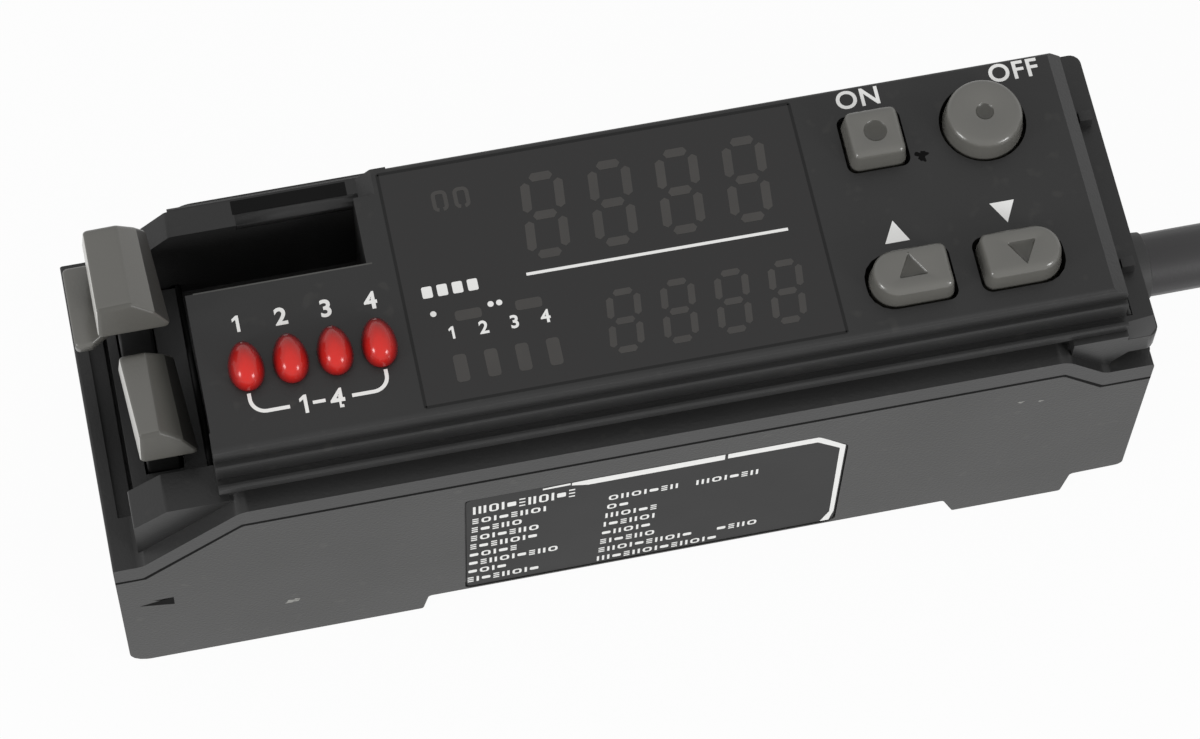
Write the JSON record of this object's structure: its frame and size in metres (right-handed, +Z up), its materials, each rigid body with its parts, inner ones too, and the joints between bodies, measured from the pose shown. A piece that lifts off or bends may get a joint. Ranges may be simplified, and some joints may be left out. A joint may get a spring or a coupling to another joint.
{
  "type": "photoelectric sensor amplifier",
  "caption": "Rail-mounted fibre sensor amplifier with a smoked display window, red output lights, keys, fibre lock levers and a cable",
  "frame": {"origin": "centre of the body's outline at the underside of its feet", "axes": "+X along the body towards the cable end, +Y away from the side with the sticker, +Z up"},
  "size_m": [0.183, 0.0419, 0.0301],
  "materials": {
    "case_plastic": "fine matt moulding",
    "housing_plastic": "fine matt moulding",
    "smoked_window": "smoked, polished",
    "red_lens": "polished",
    "grey_plastic": "satin",
    "lever_plastic": "satin",
    "label_film": "printed film",
    "inner_plastic": "matt",
    "clear_resin": "polished",
    "dark_resin": "polished",
    "circuit_board": "lacquered",
    "switch_metal": "stamped",
    "capacitor_can": "drawn",
    "lead_copper": "insulated wire",
    "latch_plastic": "satin",
    "spring_steel": "drawn wire",
    "bush_rubber": "matt",
    "cable_jacket": "satin sheath",
    "tie_strap": "ribbed strap"
  },
  "bodies": {
    "body": {"lower_case": "case_plastic", "upper_housing": "housing_plastic", "display_window": "smoked_window", "output_light_1": "red_lens", "output_light_2": "red_lens", "output_light_3": "red_lens", "output_light_4": "red_lens", "side_label": "label_film", "fibre_holder": "inner_plastic", "emitter_leds": "clear_resin", "receiver_diodes": "dark_resin", "optics_board": "circuit_board", "display_board": "circuit_board", "upper_digits": "inner_plastic", "lower_digits": "inner_plastic", "indicator_bars": "inner_plastic", "output_leds": "clear_resin", "mode_switch": "switch_metal", "set_switch": "switch_metal", "up_switch": "switch_metal", "down_switch": "switch_metal", "main_board": "circuit_board", "processor_chip": "inner_plastic", "capacitors": "capacitor_can", "board_header": "inner_plastic", "lead_terminal": "clear_resin", "cable_leads": "lead_copper", "latch_spring": "spring_steel", "cable_bush": "bush_rubber", "cable_tube": "cable_jacket", "cable_hank": "cable_jacket", "cable_ties": "tie_strap"},
    "mode_key": {"mode_button": "grey_plastic"},
    "set_key": {"set_button": "grey_plastic"},
    "up_key": {"up_button": "grey_plastic"},
    "down_key": {"down_button": "grey_plastic"},
    "back_lever": {"back_lock_lever": "lever_plastic"},
    "front_lever": {"front_lock_lever": "lever_plastic"},
    "latch": {"rail_latch": "latch_plastic"}
  },
  "joints": [
    {"name": "mode_press", "type": "slide", "parent": "body", "child": "mode_key", "axis": [0, 0, -1], "range_m": [0, 0.0003], "stiffness_N_per_m": 1500, "springref_m": -0.0003},
    {"name": "set_press", "type": "slide", "parent": "body", "child": "set_key", "axis": [0, 0, -1], "range_m": [0, 0.0003], "stiffness_N_per_m": 1500, "springref_m": -0.0003},
    {"name": "up_press", "type": "slide", "parent": "body", "child": "up_key", "axis": [0, 0, -1], "range_m": [0, 0.0003], "stiffness_N_per_m": 1500, "springref_m": -0.0003},
    {"name": "down_press", "type": "slide", "parent": "body", "child": "down_key", "axis": [0, 0, -1], "range_m": [0, 0.0003], "stiffness_N_per_m": 1500, "springref_m": -0.0003},
    {"name": "back_lever_slide", "type": "slide", "parent": "body", "child": "back_lever", "axis": [0, 0, 1], "range_m": [-0.004, 0]},
    {"name": "front_lever_slide", "type": "slide", "parent": "body", "child": "front_lever", "axis": [0, 0, 1], "range_m": [0, 0.004]},
    {"name": "latch_pull", "type": "slide", "parent": "body", "child": "latch", "axis": [1, 0, 0], "range_m": [0, 0.0015], "stiffness_N_per_m": 800, "springref_m": -0.001, "deforming": ["latch_spring"]}
  ]
}
